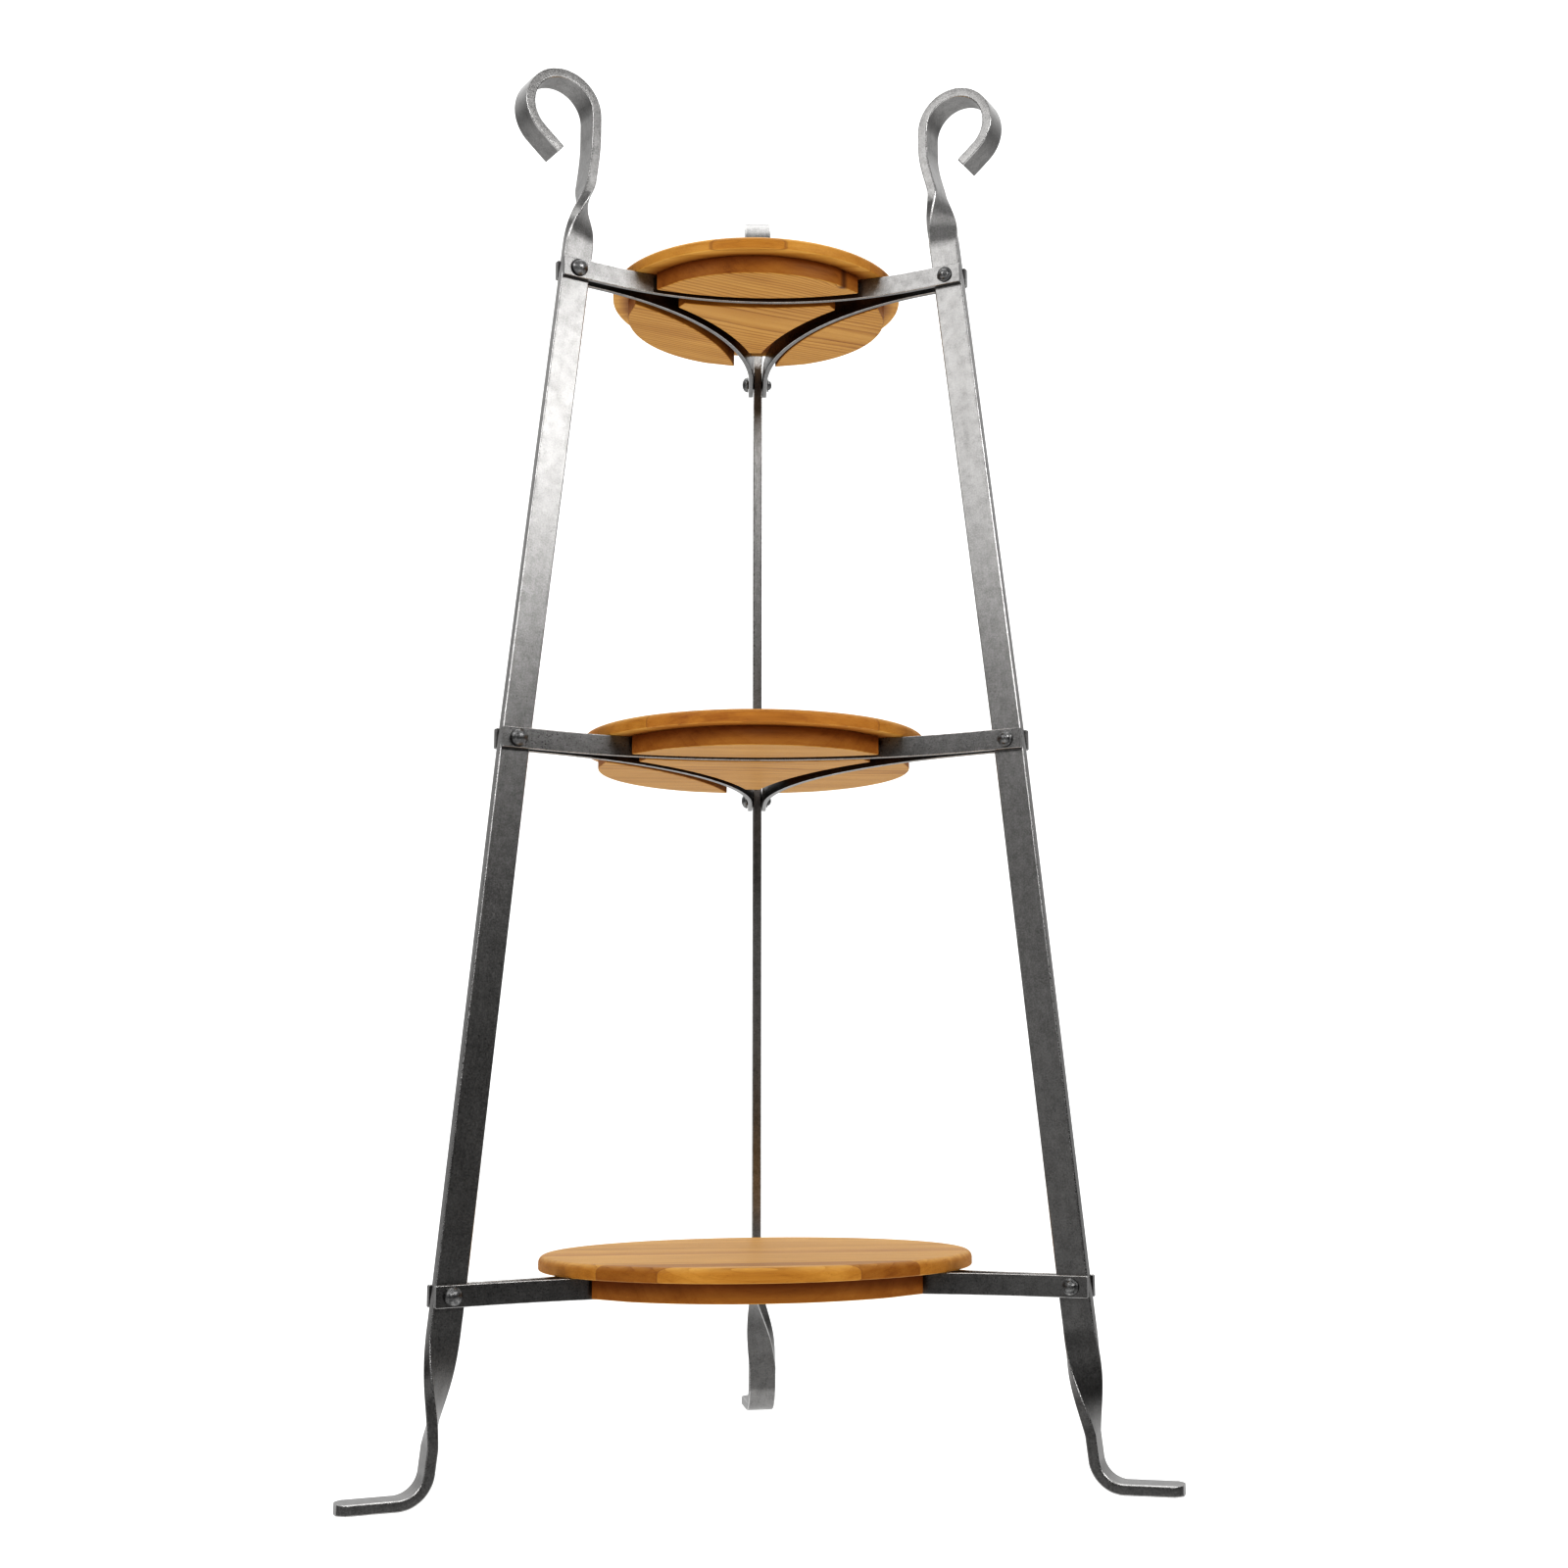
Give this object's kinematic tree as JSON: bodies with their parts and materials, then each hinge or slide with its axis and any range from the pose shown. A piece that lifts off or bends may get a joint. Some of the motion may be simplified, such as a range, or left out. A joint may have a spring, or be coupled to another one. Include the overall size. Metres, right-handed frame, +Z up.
{
  "type": "tiered tripod display stand",
  "caption": "Tall tripod stand of forged flat bar with scrolled leg tops, curved riveted straps on edge and loose round wooden boards, for display or serving.",
  "frame": {"origin": "on the floor, at the middle of the stand's footprint box; the stand's own axis, through the middle of the straps, stands at x = 0, y = -66.83 mm", "axes": "+Z up; +Y towards the back leg, which stands in the plane x = 0; +X towards the front right leg"},
  "size_m": [0.4748, 0.4028, 0.8745],
  "materials": {
    "leg_steel": "brushed raw flat bar under clear coat",
    "strap_steel": "brushed raw flat bar under clear coat",
    "rivet_steel": "dark oxidised forged steel, slightly glossy",
    "board_wood": "oiled edge-glued hardwood, satin",
    "block_wood": "oiled hardwood, satin"
  },
  "bodies": {
    "frame": {"leg_back": "leg_steel", "leg_front_left": "leg_steel", "leg_front_right": "leg_steel", "top_strap_front": "strap_steel", "top_strap_right": "strap_steel", "top_strap_left": "strap_steel", "middle_strap_front": "strap_steel", "middle_strap_right": "strap_steel", "middle_strap_left": "strap_steel", "bottom_strap_front": "strap_steel", "bottom_strap_right": "strap_steel", "bottom_strap_left": "strap_steel", "rivet_top_back": "rivet_steel", "rivet_top_front_left": "rivet_steel", "rivet_top_front_right": "rivet_steel", "rivet_middle_back": "rivet_steel", "rivet_middle_front_left": "rivet_steel", "rivet_middle_front_right": "rivet_steel", "rivet_bottom_back": "rivet_steel", "rivet_bottom_front_left": "rivet_steel", "rivet_bottom_front_right": "rivet_steel"},
    "top_shelf": {"top_board": "board_wood", "top_block_core": "block_wood", "top_block_front": "block_wood", "top_block_right": "block_wood", "top_block_left": "block_wood"},
    "middle_shelf": {"middle_board": "board_wood", "middle_block_core": "block_wood", "middle_block_front": "block_wood", "middle_block_right": "block_wood", "middle_block_left": "block_wood"},
    "bottom_shelf": {"bottom_board": "board_wood", "bottom_block_core": "block_wood", "bottom_block_front": "block_wood", "bottom_block_right": "block_wood", "bottom_block_left": "block_wood"}
  },
  "joints": [
    {"name": "top_board_lift", "type": "slide", "parent": "frame", "child": "top_shelf", "axis": [0, 0, 1], "range_m": [0, 0.14]},
    {"name": "middle_board_lift", "type": "slide", "parent": "frame", "child": "middle_shelf", "axis": [0, 0, 1], "range_m": [0, 0.275]},
    {"name": "bottom_board_lift", "type": "slide", "parent": "frame", "child": "bottom_shelf", "axis": [0, 0, 1], "range_m": [0, 0.29]}
  ]
}
